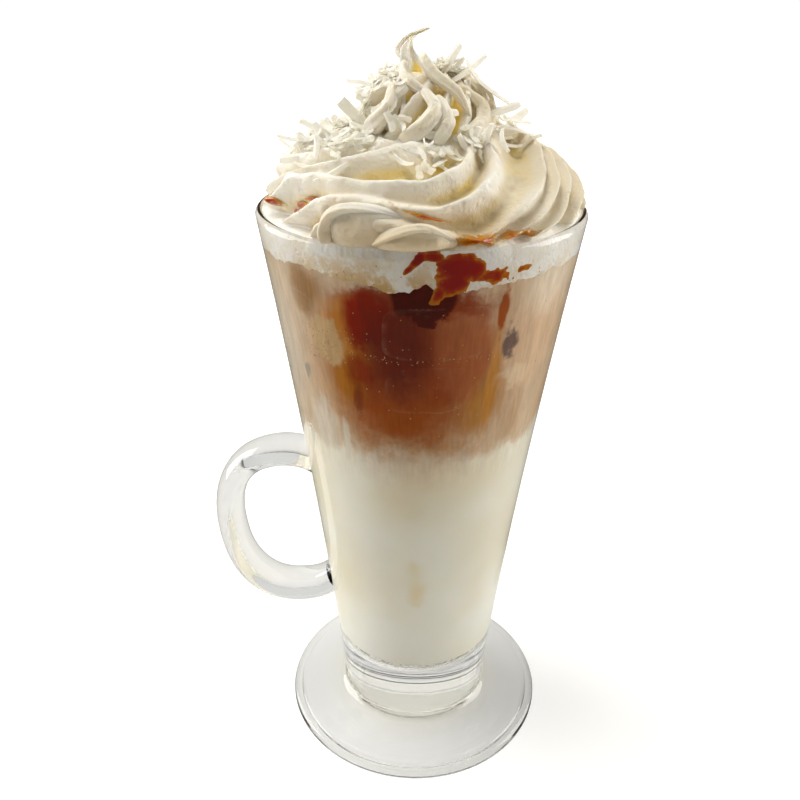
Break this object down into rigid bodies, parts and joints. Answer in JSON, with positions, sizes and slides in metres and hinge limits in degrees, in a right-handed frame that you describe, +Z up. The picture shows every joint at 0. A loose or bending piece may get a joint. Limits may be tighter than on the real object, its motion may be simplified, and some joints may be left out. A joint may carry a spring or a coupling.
{
  "type": "batida, layered iced coffee and milk with piped cream, in a handled glass",
  "caption": "Tall handled glass of white milk under iced coffee, topped with a piped whipped-cream swirl, syrup and white slivers.",
  "frame": {"origin": "middle of the foot's resting plane, under the bowl's axis", "axes": "+Z up along the bowl's axis, handle along -X"},
  "size_m": [0.096, 0.078, 0.1925],
  "materials": {
    "glass": "clear, smooth, polished",
    "milk": "opaque white liquid seen through glass",
    "coffee": "milky coffee seen through glass, darker under the cream",
    "cream": "soft whipped cream, slightly porous, sharp piped crests"
  },
  "bodies": {
    "root": {"glass": "glass", "milk": "milk", "coffee": "coffee", "cream": "cream"}
  },
  "joints": []
}
